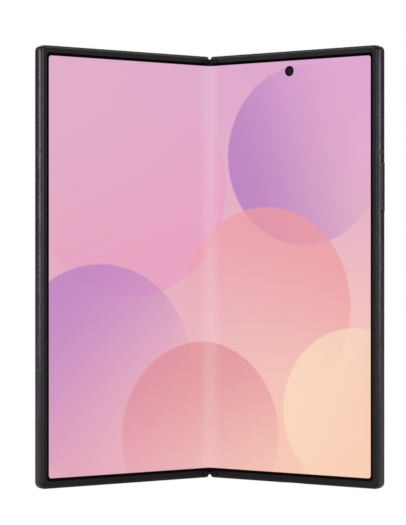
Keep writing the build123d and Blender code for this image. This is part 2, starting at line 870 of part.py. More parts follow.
with BuildPart() as camera_island:
    with BuildSketch(half_plane(1, -back_depth)):
        with Locations(Location((island_u, (island_low + island_high) / 2, 0), (0, 0, 90))):
            SlotOverall(island_high - island_low, island_width)
    extrude(amount=-island_rise)
    outer_face = faces().sort_by(Axis(spot(1, 0, 0, 0), facing(1)))[0]
    fillet(outer_face.edges(), island_round)
    with BuildSketch(half_plane(1, -back_depth)):
        with Locations([(island_u, lens_v) for lens_v in lens_heights]):
            Circle(barrel_radius + slide_gap)
        with Locations((island_u, flash_v)):
            Circle(flash_radius + fit_gap)
    extrude(amount=-island_rise, mode=Mode.SUBTRACT)
save(camera_island, "camera_island")

with BuildPart() as lens_rings:
    with BuildSketch(half_plane(1, -ring_top)):
        with Locations([(island_u, lens_v) for lens_v in lens_heights]):
            Circle(lens_ring_radius)
            Circle(lens_ring_radius - lens_ring_wall, mode=Mode.SUBTRACT)
    extrude(amount=lens_ring_rise)
    rim_edges = edges().filter_by(GeomType.CIRCLE).group_by(Axis(spot(1, 0, 0, 0), facing(1)))[0]
    chamfer(rim_edges, lens_ring_wall / 4)
save(lens_rings, "lens_rings")

with BuildPart() as lens_glasses:
    with BuildSketch(half_plane(1, -island_top - lens_glass_thickness)):
        with Locations([(island_u, lens_v) for lens_v in lens_heights]):
            Circle(lens_ring_radius - lens_ring_wall - fit_gap)
    extrude(amount=lens_glass_thickness)
save(lens_glasses, "lens_glasses")

with BuildPart() as camera_modules:
    for lens_v in lens_heights:
        with BuildSketch(half_plane(1, -module_back)):
            with Locations((island_u, lens_v)):
                RectangleRounded(module_size, module_size, module_corner)
        extrude(amount=module_back - plate_depth - part_gap)
        with BuildSketch(half_plane(1, -island_top + fit_gap)):
            with Locations((island_u, lens_v)):
                Circle(barrel_radius)
        extrude(amount=island_top - fit_gap - module_back)
        with BuildSketch(half_plane(1, -island_top + fit_gap)):
            with Locations((island_u, lens_v)):
                Circle(aperture_radius)
        extrude(amount=aperture_depth, taper=aperture_taper, mode=Mode.SUBTRACT)
save(camera_modules, "camera_modules")

with BuildPart() as flash_lens:
    with BuildSketch(half_plane(1, -glass_depth)):
        with Locations((island_u, flash_v)):
            Circle(flash_radius)
    extrude(amount=glass_depth - island_top)
save(flash_lens, "flash_lens")


# Camera in the display, and the camera and display behind the cover glass

with BuildPart() as inner_camera:
    with BuildSketch(half_plane(1, -inner_module_back)):
        with Locations((camera_hole_u, camera_hole_v)):
            RectangleRounded(inner_module, inner_module, module_corner)
    extrude(amount=inner_module_back - plate_depth - part_gap)
    with BuildSketch(half_plane(1, -plate_depth - part_gap)):
        with Locations((camera_hole_u, camera_hole_v)):
            Circle(camera_hole_radius - fit_gap)
    extrude(amount=plate_depth + part_gap - display_thickness)
save(inner_camera, "inner_camera")

with BuildPart() as inner_camera_lens:
    with BuildSketch(half_plane(1, -display_thickness)):
        with Locations((camera_hole_u, camera_hole_v)):
            Circle(camera_hole_radius - fit_gap)
    extrude(amount=display_thickness - lens_sink)
save(inner_camera_lens, "inner_camera_lens")

cover_panel_front = glass_depth - cover_panel_thickness
with BuildPart() as cover_display:
    with BuildSketch(half_plane(-1, -glass_depth)):
        patch(
            -1,
            shallow_bay_start + cover_panel_margin,
            bay_end - cover_panel_margin,
            -bay_top + cover_panel_margin,
            bay_top - cover_panel_margin,
            bay_corner,
        )
        with Locations((-cover_camera_u, cover_camera_v)):
            Circle(cover_camera_radius + slide_gap, mode=Mode.SUBTRACT)
    extrude(amount=cover_panel_thickness)
save(cover_display, "cover_display")

with BuildPart() as cover_camera:
    with BuildSketch(half_plane(-1, -cover_panel_front + part_gap)):
        with Locations((-cover_camera_u, cover_camera_v)):
            RectangleRounded(inner_module, inner_module, module_corner)
    extrude(amount=cover_panel_front - plate_depth - 2 * part_gap)
    with BuildSketch(half_plane(-1, -cover_panel_front + part_gap)):
        with Locations((-cover_camera_u, cover_camera_v)):
            Circle(cover_camera_radius)
    extrude(amount=-cover_panel_thickness - part_gap + fit_gap)
save(cover_camera, "cover_camera")


# Batteries, boards, coil, sounders and motor

def filling(side, front, back, u, v, width, length, corner, name, notch=None):
    """Plain rounded block inside one half, with an optional square notch for a camera."""
    with BuildPart() as piece:
        with BuildSketch(half_plane(side, -back)):
            with Locations((side * u, v)):
                RectangleRounded(width, length, corner)
            if notch:
                with Locations((side * notch[0], notch[1])):
                    Rectangle(notch[2], notch[2], mode=Mode.SUBTRACT)
        extrude(amount=back - front)
    save(piece, name)


layer_front = plate_depth + part_gap
board_back = layer_front + board_thickness
right_battery_back = glass_depth - coil_thickness - part_gap
left_back = cover_panel_front - part_gap
sounder_back = glass_depth - part_gap
hole_notch = (camera_hole_u, camera_hole_v, inner_module + 2 * slide_gap)
cover_battery_u = column_start + cover_battery_width / 2


def right_filling(back, u, v, width, length, corner, name, notch=None):
    """One filling of the right half, from the common front layer to the depth given."""
    filling(1, layer_front, back, u, v, width, length, corner, name, notch)


def left_filling(back, u, v, width, length, corner, name):
    """One filling of the left half, from the common front layer to the depth given."""
    filling(-1, layer_front, back, u, v, width, length, corner, name)


right_filling(
    right_battery_back, column_u, battery_v, column_width, battery_height, battery_corner, "right_battery"
)
left_filling(
    left_back, cover_battery_u, battery_v, cover_battery_width, battery_height, battery_corner,
    "left_battery",
)
right_filling(
    board_back, column_u, board_v, column_width, board_length, board_corner, "main_board", hole_notch
)
left_filling(
    board_back, cover_board_u, cover_board_v, cover_board_width, cover_board_length, board_corner,
    "cover_board",
)
right_filling(
    sounder_back, speaker_u, -speaker_v, speaker_width, speaker_length, speaker_corner, "loudspeaker"
)
left_filling(
    left_back, earpiece_u, earpiece_v, earpiece_width, earpiece_length, speaker_corner, "earpiece_speaker"
)
right_filling(
    sounder_back, motor_u, -speaker_v, motor_width, speaker_length, speaker_corner, "vibration_motor"
)

with BuildPart() as shield_cans:
    with BuildSketch(half_plane(1, -board_back)):
        for u_share, v_share, width_share, length_share in can_layout:
            with Locations((column_u + u_share * column_width, board_v + v_share * board_length)):
                RectangleRounded(width_share * column_width, length_share * board_length, can_corner)
    extrude(amount=-can_height)
save(shield_cans, "shield_cans")

with BuildPart() as charging_coil:
    with BuildSketch(half_plane(1, -glass_depth)):
        with Locations((column_u, battery_v)):
            Circle(coil_radius)
            Circle(coil_hole_radius, mode=Mode.SUBTRACT)
    extrude(amount=coil_thickness)
save(charging_coil, "charging_coil")


# Charging port

with BuildPart() as port_shell:
    with BuildSketch(end_plane(1, -1, port_u, port_sink, port_w)):
        RectangleRounded(port_shell_width, port_shell_height - 2 * port_seat_gap, port_corner)
    extrude(amount=-port_depth + port_sink)
    with BuildSketch(end_plane(1, -1, port_u, port_sink, port_w)):
        RectangleRounded(port_width, port_opening, port_corner - port_shell_wall)
    extrude(amount=-port_depth + port_sink + port_shell_wall, mode=Mode.SUBTRACT)
save(port_shell, "port_shell")

with BuildPart() as port_tongue:
    with BuildSketch(end_plane(1, -1, port_u, port_depth - port_shell_wall, port_w)):
        RectangleRounded(port_width, port_opening, port_corner - port_shell_wall)
    extrude(amount=port_base)
    with BuildSketch(end_plane(1, -1, port_u, port_depth - port_shell_wall, port_w)):
        RectangleRounded(tongue_width, tongue_thickness, tongue_thickness / 3)
    extrude(amount=port_base + tongue_length)
save(port_tongue, "port_tongue")


# Side keys and the switches that they press

flange_outer = half_width - side_wall - key_flange_gap
flange_inner = flange_outer - key_flange_thickness
dome_top = flange_inner - switch_gap
switch_front = dome_top - dome_rise


def make_key(length, middle, rise, name, sensor=False):
    """Side key: an outer bar through the wall, with a longer flange behind the wall."""
    with BuildPart() as key:
        with BuildSketch(side_plane(1, flange_outer, middle, -key_depth)):
            SlotOverall(length, key_width)
        extrude(amount=half_width + rise - flange_outer)
        outer = faces().sort_by(Axis(spot(1, 0, 0, 0), across(1)))[-1]
        fillet(outer.edges(), key_round)
        with BuildSketch(side_plane(1, flange_inner, middle, -key_depth)):
            RectangleRounded(length + 2 * key_flange, key_width, flange_corner)
        extrude(amount=key_flange_thickness)
        if sensor:
            with BuildSketch(side_plane(1, half_width + rise, middle, -key_depth)):
                SlotOverall(length - 2 * sensor_inset, key_width - sensor_inset / 2)
            extrude(amount=-sensor_thickness, mode=Mode.SUBTRACT)
    save(key, name)


make_key(rocker_length, rocker_height, key_rise, "volume_rocker")
make_key(power_length, power_height, power_rise, "power_key", sensor=True)

with BuildPart() as fingerprint_sensor:
    with BuildSketch(side_plane(1, half_width + power_rise - sensor_thickness, power_height, -key_depth)):
        SlotOverall(
            power_length - 2 * sensor_inset - fit_gap, key_width - sensor_inset / 2 - fit_gap
        )
    extrude(amount=sensor_thickness - fit_gap)
save(fingerprint_sensor, "fingerprint_sensor")

switch_low = power_height - power_length / 2
switch_high = rocker_height + rocker_length / 2
dome_heights = (power_height, rocker_height - rocker_length / 3, rocker_height + rocker_length / 3)
with BuildPart() as side_switches:
    with BuildSketch(side_plane(1, switch_front - switch_board, (switch_low + switch_high) / 2, -key_depth)):
        RectangleRounded(switch_high - switch_low, key_width, flange_corner)
    extrude(amount=switch_board)
    for dome_v in dome_heights:
        with BuildSketch(side_plane(1, switch_front, dome_v, -key_depth)):
            Circle(dome_radius)
        extrude(amount=dome_rise, taper=dome_taper)
save(side_switches, "side_switches")


# Card tray and its reader

with BuildPart() as card_tray:
    with BuildSketch(end_plane(-1, 1, tray_u, tray_face, -tray_depth)):
        SlotOverall(tray_face_width, tray_face_height)
    extrude(amount=tray_face)
    with BuildSketch(end_plane(-1, 1, tray_u, tray_face, -tray_depth)):
        Rectangle(tray_width, tray_thickness)
    extrude(amount=-tray_length)
    with BuildSketch(half_plane(-1, -tray_depth - tray_thickness)):
        with Locations((-tray_u, height / 2 - tray_face - tray_length / 2)):
            RectangleRounded(card_width, card_length, card_corner)
    extrude(amount=2 * tray_thickness, mode=Mode.SUBTRACT)
    with BuildSketch(end_plane(-1, 1, tray_u + tray_width / 2 - eject_side, 0, -tray_depth)):
        Circle(eject_radius)
    extrude(amount=-tray_face, mode=Mode.SUBTRACT)
save(card_tray, "card_tray")

reader_width = tray_width + 2 * slide_gap + 2 * reader_wall
reader_front = plate_depth + part_gap
reader_high = bay_top - part_gap
reader_low = height / 2 - tray_face - tray_length - 2 * reader_wall
with BuildPart() as card_reader:
    reader_back = tray_depth + tray_thickness / 2
    reader_start = tray_u - reader_width / 2
    block(-1, reader_front, reader_back, reader_start, reader_start + reader_width, reader_low, reader_high)
    slot_front = tray_depth - tray_thickness / 2 - slide_gap
    slot_start = reader_start + reader_wall
    slot_stop = slot_start + tray_width + 2 * slide_gap
    pocket(-1, slot_front, reader_back + 1, slot_start, slot_stop, reader_low + reader_wall, reader_high + 1)
save(card_reader, "card_reader")
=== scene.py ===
"""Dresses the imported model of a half-open foldable phone and sets it in a plain studio.

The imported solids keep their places. This script gives each of them a finish, adds the
bending part of the display and the camera optics as pieces of their own, and then adds
the floor, the lights and the camera.
"""

from __future__ import annotations

import logging
import math
from dataclasses import dataclass, field
from enum import Enum
from typing import Iterable, Protocol, Sequence

import bmesh
import bpy
from mathutils import Matrix, Vector

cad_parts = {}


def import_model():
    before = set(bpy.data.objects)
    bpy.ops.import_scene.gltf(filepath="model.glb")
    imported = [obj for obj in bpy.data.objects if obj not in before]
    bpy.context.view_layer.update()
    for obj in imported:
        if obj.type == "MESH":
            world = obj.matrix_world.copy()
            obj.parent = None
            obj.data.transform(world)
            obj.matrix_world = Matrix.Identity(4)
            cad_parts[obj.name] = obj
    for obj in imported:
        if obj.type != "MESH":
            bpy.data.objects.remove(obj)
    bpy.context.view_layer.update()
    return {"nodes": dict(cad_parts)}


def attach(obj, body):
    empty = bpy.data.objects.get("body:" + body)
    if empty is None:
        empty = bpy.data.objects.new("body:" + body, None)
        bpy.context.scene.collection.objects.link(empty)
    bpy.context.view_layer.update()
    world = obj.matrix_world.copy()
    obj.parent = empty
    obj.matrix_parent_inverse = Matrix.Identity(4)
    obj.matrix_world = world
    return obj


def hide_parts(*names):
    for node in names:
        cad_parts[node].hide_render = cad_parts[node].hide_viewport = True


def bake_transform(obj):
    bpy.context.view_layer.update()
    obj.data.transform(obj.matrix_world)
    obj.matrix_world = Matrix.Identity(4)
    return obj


LOG = logging.getLogger("foldable_phone")
MM = 0.001
WELD = 1e-5  # millimetres between points that become one
Colour = tuple[float, float, float]


def from_screen(red: float, green: float, blue: float) -> Colour:
    """Turns a colour in screen values into linear ones.

    Args:
        red: red from 0 to 255.
        green: green from 0 to 255.
        blue: blue from 0 to 255.

    Returns:
        The three linear values.
    """

    def channel(value: float) -> float:
        """One channel in linear light."""
        share = value / 255
        return share / 12.92 if share <= 0.04045 else ((share + 0.055) / 1.055) ** 2.4

    return channel(red), channel(green), channel(blue)


class Side(Enum):
    """The two halves of the phone, as seen from the front."""

    LEFT = -1
    RIGHT = 1

    @property
    def prefix(self) -> str:
        """Start of the names of this half's nodes."""
        return self.name.lower()

    @property
    def body(self) -> str:
        """Name of the body that this half belongs to."""
        return f"{self.prefix}_half"


@dataclass(frozen=True)
class FoldFrame:
    """Sizes that place a point of either half, in millimetres and degrees."""

    fold_tilt: float = 33.0
    axis_offset: float = 0.9
    height: float = 158.4
    half_width: float = 71.7
    panel_margin: float = 2.0
    back_depth: float = 4.0

    @property
    def tilt(self) -> float:
        """Swing of each half from flat, in radians."""
        return math.radians(self.fold_tilt)

    @property
    def flex_half(self) -> float:
        """Half of the bending strip, laid flat."""
        return self.axis_offset * math.pi / 2

    @property
    def middle(self) -> float:
        """Height of the middle of the phone above the floor."""
        return self.height / 2

    @property
    def fold_y(self) -> float:
        """How far the fold axes lie behind the middle of the phone's plan."""
        reach = (self.half_width - self.axis_offset) * math.sin(self.tilt)
        return (reach - self.back_depth * math.cos(self.tilt)) / 2

    def across(self, side: Side) -> Vector:
        """Direction to the right along one half."""
        return Vector((math.cos(self.tilt), -side.value * math.sin(self.tilt), 0))

    def facing(self, side: Side) -> Vector:
        """Direction in which one half's display faces."""
        return Vector((-side.value * math.sin(self.tilt), -math.cos(self.tilt), 0))

    def seat(self, side: Side) -> Matrix:
        """Matrix from one half's own millimetres to the scene's metres.

        Args:
            side: the half.

        Returns:
            A matrix whose x runs to the right, y up and z towards the viewer.
        """
        across, facing = self.across(side), self.facing(side)
        axis = Vector((side.value * self.axis_offset, self.fold_y, self.middle))
        origin = axis - across * (side.value * self.axis_offset)
        columns = Matrix((across, (0, 0, 1), facing)).transposed().to_4x4()
        return Matrix.Scale(MM, 4) @ Matrix.Translation(origin) @ columns


# Finishes


class Shader:
    """Node tree of one finish, written from its coordinates to its surface."""

    def __init__(self, name: str) -> None:
        """Starts an empty tree.

        Args:
            name: name of the material.
        """
        self.material = bpy.data.materials.new(name)
        self.material.use_nodes = True
        self.tree = self.material.node_tree
        self.tree.nodes.clear()

    def node(self, kind: str, **values: object) -> bpy.types.Node:
        """Adds a node and sets its properties.

        Args:
            kind: Blender's name of the node.
            values: properties of the node, by name.

        Returns:
            The node.
        """
        made = self.tree.nodes.new(kind)
        for key, value in values.items():
            setattr(made, key, value)
        return made

    def feed(self, socket: bpy.types.NodeSocket, value: object) -> None:
        """Links an output to a socket, or sets the socket to a plain value."""
        if isinstance(value, bpy.types.NodeSocket):
            self.tree.links.new(value, socket)
        elif isinstance(value, tuple) and len(value) == 3 and socket.type == "RGBA":
            socket.default_value = (*value, 1.0)
        else:
            socket.default_value = value

    def math(self, operation: str, first: object, second: object = 0.0) -> bpy.types.NodeSocket:
        """Result of one sum, kept from 0 to 1 only where the operation does so itself."""
        made = self.node("ShaderNodeMath", operation=operation)
        self.feed(made.inputs[0], first)
        self.feed(made.inputs[1], second)
        return made.outputs[0]

    def steps(self, value: object, low: float, high: float, out: tuple[float, float] = (0.0, 1.0),
              smooth: bool = True) -> bpy.types.NodeSocket:
        """Maps a value from one range to another.

        Args:
            value: the value.
            low: value that gives the first of out.
            high: value that gives the second of out.
            out: the two results.
            smooth: whether the change eases in and out.

        Returns:
            The mapped value.
        """
        made = self.node("ShaderNodeMapRange", interpolation_type="SMOOTHSTEP" if smooth else "LINEAR")
        for index, item in enumerate((value, low, high, *out)):
            self.feed(made.inputs[index], item)
        return made.outputs[0]

    def mix(self, share: object, first: object, second: object) -> bpy.types.NodeSocket:
        """Mix of two colours."""
        made = self.node("ShaderNodeMix", data_type="RGBA")
        self.feed(made.inputs[0], share)
        self.feed(made.inputs[6], first)
        self.feed(made.inputs[7], second)
        return made.outputs[2]

    def coordinates(self, output: str = "Object", offset: Sequence[float] = (0, 0, 0),
                    turn: Sequence[float] = (0, 0, 0), scale: Sequence[float] = (1, 1, 1)
                    ) -> bpy.types.NodeSocket:
        """Coordinates of the surface, moved, turned and stretched.

        Args:
            output: Object or UV.
            offset: the point that becomes the origin.
            turn: turn about each axis, in radians, after the move.
            scale: stretch along each axis, after the turn.

        Returns:
            The coordinates.
        """
        vector = self.node("ShaderNodeTexCoord").outputs[output]
        moved = self.node("ShaderNodeMapping")
        self.feed(moved.inputs["Vector"], vector)
        moved.inputs["Location"].default_value = [-value for value in offset]
        turned = self.node("ShaderNodeMapping")
        self.feed(turned.inputs["Vector"], moved.outputs[0])
        turned.inputs["Rotation"].default_value = turn
        stretched = self.node("ShaderNodeMapping")
        self.feed(stretched.inputs["Vector"], turned.outputs[0])
        stretched.inputs["Scale"].default_value = scale
        return stretched.outputs[0]

    def grain(self, vector: object, scale: float, detail: float = 3.0, rough: float = 0.55
              ) -> bpy.types.NodeSocket:
        """Noise from 0 to 1 over the surface."""
        made = self.node("ShaderNodeTexNoise")
        self.feed(made.inputs["Vector"], vector)
        self.feed(made.inputs["Scale"], scale)
        self.feed(made.inputs["Detail"], detail)
        self.feed(made.inputs["Roughness"], rough)
        return made.outputs[0]

    def bump(self, height: object, strength: float, depth: float) -> bpy.types.NodeSocket:
        """Normal that follows a height, whose full step is depth in metres."""
        made = self.node("ShaderNodeBump")
        self.feed(made.inputs["Strength"], strength)
        self.feed(made.inputs["Distance"], depth)
        self.feed(made.inputs["Height"], height)
        return made.outputs[0]

    def surface(self, **sockets: object) -> bpy.types.Material:
        """Ends the tree in one surface.

        Args:
            sockets: values of the surface's sockets, with _ for a space in their names.

        Returns:
            The finished material.
        """
        surface = self.node("ShaderNodeBsdfPrincipled")
        for key, value in sockets.items():
            self.feed(surface.inputs[key.replace("_", " ")], value)
        end = self.node("ShaderNodeOutputMaterial")
        self.tree.links.new(surface.outputs[0], end.inputs[0])
        return self.material


class Finish(Protocol):
    """Finish that builds a material of its own name."""

    @property
    def name(self) -> str:
        """Name of the material."""

    def material(self) -> bpy.types.Material:
        """Builds the finish."""


@dataclass(frozen=True)
class AnodisedMetal:
    """Satin metal with a dyed skin and a very fine blasted grain."""

    name: str
    dark: Colour
    light: Colour
    roughness: tuple[float, float] = (0.3, 0.4)
    grain: float = 9000.0
    relief: float = 0.000004
    blast: float = 0.35
    cloud: float = 90.0

    def material(self) -> bpy.types.Material:
        """Builds the finish."""
        shader = Shader(self.name)
        place = shader.coordinates()
        grain = shader.grain(place, self.grain)
        cloud = shader.grain(place, self.cloud, 2.0)
        tone = shader.math("MULTIPLY", shader.math("ADD", grain, cloud), 0.5)
        return shader.surface(
            Base_Color=shader.mix(shader.steps(tone, 0.35, 0.65), self.dark, self.light),
            Metallic=1.0,
            Roughness=shader.steps(cloud, 0.3, 0.7, self.roughness),
            Normal=shader.bump(grain, self.blast, self.relief),
        )


@dataclass(frozen=True)
class MachinedSteel:
    """Bare steel with fine tool marks along one axis."""

    name: str
    dark: Colour = (0.36, 0.36, 0.38)
    light: Colour = (0.55, 0.55, 0.57)
    stretch: tuple[float, float, float] = (1.0, 1.0, 0.04)
    grain: float = 5000.0
    roughness: tuple[float, float] = (0.22, 0.4)
    relief: float = 0.000005

    def material(self) -> bpy.types.Material:
        """Builds the finish."""
        shader = Shader(self.name)
        marks = shader.grain(shader.coordinates(scale=self.stretch), self.grain, 4.0)
        return shader.surface(
            Base_Color=shader.mix(marks, self.dark, self.light),
            Metallic=1.0,
            Roughness=shader.steps(marks, 0.3, 0.7, self.roughness),
            Normal=shader.bump(marks, 0.3, self.relief),
        )


@dataclass(frozen=True)
class MouldedPlastic:
    """Moulded plastic with a fine even texture."""

    name: str
    dark: Colour
    light: Colour
    roughness: tuple[float, float] = (0.38, 0.5)
    grain: float = 7000.0
    relief: float = 0.000006
    specular: float = 0.4
    cloud: float = 140.0

    def material(self) -> bpy.types.Material:
        """Builds the finish."""
        shader = Shader(self.name)
        place = shader.coordinates()
        grain = shader.grain(place, self.grain, 2.0)
        return shader.surface(
            Base_Color=self.tone(shader, place),
            Roughness=shader.steps(grain, 0.3, 0.7, self.roughness),
            Specular_IOR_Level=self.specular,
            Normal=shader.bump(grain, 0.4, self.relief),
        )

    def tone(self, shader: Shader, place: object) -> bpy.types.NodeSocket:
        """Colour of the plastic, with a faint cloudiness."""
        cloud = shader.grain(place, self.cloud, 2.0)
        return shader.mix(shader.steps(cloud, 0.3, 0.7), self.dark, self.light)


@dataclass(frozen=True)
class RimPlastic(MouldedPlastic):
    """Plastic of the display's rim, with painted shade: black lines where the seams on either side of
    the crease are.

    The seams' sizes are in millimetres from the middle of the phone.
    """

    seam: float = 2.65
    seam_half_width: float = 0.26
    seam_edge: float = 0.06
    # Painted shade: near black in the seams, standing in for the shade in the gaps between parts.
    seam_colour: Colour = (0.0005, 0.0005, 0.0006)

    def tone(self, shader: Shader, place: object) -> bpy.types.NodeSocket:
        """Colour of the plastic, with painted shade: black where the seams are."""
        ground = MouldedPlastic.tone(self, shader, place)
        split = shader.node("ShaderNodeSeparateXYZ")
        shader.feed(split.inputs[0], place)
        beside = shader.math("ABSOLUTE", split.outputs[0])
        off = shader.math("ABSOLUTE", shader.math("SUBTRACT", beside, self.seam * MM))
        far = (self.seam_half_width + self.seam_edge) * MM
        near = (self.seam_half_width - self.seam_edge) * MM
        return shader.mix(shader.steps(off, far, near), ground, self.seam_colour)


@dataclass(frozen=True)
class EtchedGlass:
    """Back glass, etched to a velvet grain over a dark coating."""

    name: str
    dark: Colour
    light: Colour
    roughness: tuple[float, float] = (0.34, 0.44)
    grain: float = 26000.0
    relief: float = 0.000003
    cloud: float = 40.0
    coat: float = 0.25
    coat_roughness: float = 0.3

    def material(self) -> bpy.types.Material:
        """Builds the finish."""
        shader = Shader(self.name)
        place = shader.coordinates()
        sparkle = shader.grain(place, self.grain, 1.0)
        cloud = shader.grain(place, self.cloud, 2.0)
        return shader.surface(
            Base_Color=shader.mix(shader.steps(sparkle, 0.35, 0.75), self.dark, self.light),
            Metallic=0.35,
            Roughness=shader.steps(cloud, 0.3, 0.7, self.roughness),
            Coat_Weight=self.coat,
            Coat_Roughness=self.coat_roughness,
            Normal=shader.bump(sparkle, 0.2, self.relief),
        )


@dataclass(frozen=True)
class PolishedGlass:
    """Polished black glass, with the faintest unevenness of a wiped surface."""

    name: str
    dark: Colour = (0.004, 0.004, 0.005)
    light: Colour = (0.008, 0.008, 0.011)
    roughness: tuple[float, float] = (0.03, 0.09)
    smear: float = 120.0
    coat: float = 0.5
    coat_roughness: float = 0.03

    def material(self) -> bpy.types.Material:
        """Builds the finish."""
        shader = Shader(self.name)
        smear = shader.grain(shader.coordinates(scale=(1.0, 1.0, 0.6)), self.smear, 4.0)
        return shader.surface(
            Base_Color=shader.mix(smear, self.dark, self.light),
            Roughness=shader.steps(smear, 0.3, 0.75, self.roughness),
            Coat_Weight=self.coat,
            Coat_Roughness=self.coat_roughness,
        )


@dataclass(frozen=True)
class ClearGlass:
    """Clear cover glass of a lens, with a faint coated tint."""

    name: str
    tint: Colour = (0.82, 0.86, 0.92)
    pale: Colour = (0.9, 0.9, 0.95)
    refraction: float = 1.5

    def material(self) -> bpy.types.Material:
        """Builds the finish."""
        shader = Shader(self.name)
        smear = shader.grain(shader.coordinates(), 300.0, 3.0)
        return shader.surface(
            Base_Color=shader.mix(smear, self.tint, self.pale),
            Roughness=shader.steps(smear, 0.3, 0.8, (0.0, 0.04)),
            Transmission_Weight=1.0,
            IOR=self.refraction,
        )


@dataclass(frozen=True)
class CoatedLens:
    """Small glass element whose coating shifts from one colour to another towards its edge."""

    name: str
    core: Colour
    rim: Colour
    edge_blend: float = 0.35

    def material(self) -> bpy.types.Material:
        """Builds the finish."""
        shader = Shader(self.name)
        edge = shader.node("ShaderNodeLayerWeight")
        shader.feed(edge.inputs["Blend"], self.edge_blend)
        cloud = shader.grain(shader.coordinates(), 500.0, 2.0)
        tone = shader.math("MULTIPLY", edge.outputs["Facing"], shader.steps(cloud, 0.2, 0.8, (0.7, 1.0)))
        return shader.surface(
            Base_Color=shader.mix(tone, self.core, self.rim),
            Roughness=0.04,
            Coat_Weight=1.0,
            Coat_Roughness=0.02,
        )


@dataclass(frozen=True)
class BoardMask:
    """Circuit board under its solder mask, with faint tracks."""

    name: str
    tracks_per_metre: float = 900.0
    dark: Colour = (0.012, 0.055, 0.035)
    light: Colour = (0.016, 0.075, 0.045)
    track: Colour = (0.03, 0.12, 0.07)

    def material(self) -> bpy.types.Material:
        """Builds the finish."""
        shader = Shader(self.name)
        tracks = shader.node("ShaderNodeTexBrick")
        shader.feed(tracks.inputs["Vector"], shader.coordinates())
        shader.feed(tracks.inputs["Scale"], self.tracks_per_metre)
        shader.feed(tracks.inputs["Color1"], self.dark)
        shader.feed(tracks.inputs["Color2"], self.light)
        shader.feed(tracks.inputs["Mortar"], self.track)
        return shader.surface(
            Base_Color=tracks.outputs["Color"],
            Roughness=shader.steps(tracks.outputs["Fac"], 0, 1, (0.35, 0.5)),
        )


@dataclass(frozen=True)
class WoundCopper:
    """Flat coil of lacquered copper wire, in rings about its middle, with painted shade darkening the
    gaps between the turns.
    """

    name: str
    centre: tuple[float, float, float]
    turn: float
    pitch: float = 0.0005
    relief: float = 0.00002
    # Painted shade: darker copper in the gaps between the turns.
    gap: Colour = (0.18, 0.07, 0.03)
    crown: Colour = (0.62, 0.3, 0.16)

    def material(self) -> bpy.types.Material:
        """Builds the finish."""
        shader = Shader(self.name)
        place = shader.coordinates(offset=self.centre, turn=(0, 0, self.turn))
        rings = shader.node("ShaderNodeTexWave", wave_type="RINGS", rings_direction="Y")
        shader.feed(rings.inputs["Vector"], place)
        shader.feed(rings.inputs["Scale"], 1 / self.pitch / math.tau * 2)
        wire = rings.outputs["Fac"]
        return shader.surface(
            Base_Color=shader.mix(wire, self.gap, self.crown),
            Metallic=1.0,
            Roughness=shader.steps(wire, 0, 1, (0.45, 0.28)),
            Normal=shader.bump(wire, 0.5, self.relief),
        )


@dataclass(frozen=True)
class Disc:
    """One soft disc of the display's picture, in millimetres on the flat display."""

    centre: tuple[float, float]
    radius: float
    colour: Colour
    strength: float
    direction: float
    edge: float = 0.35


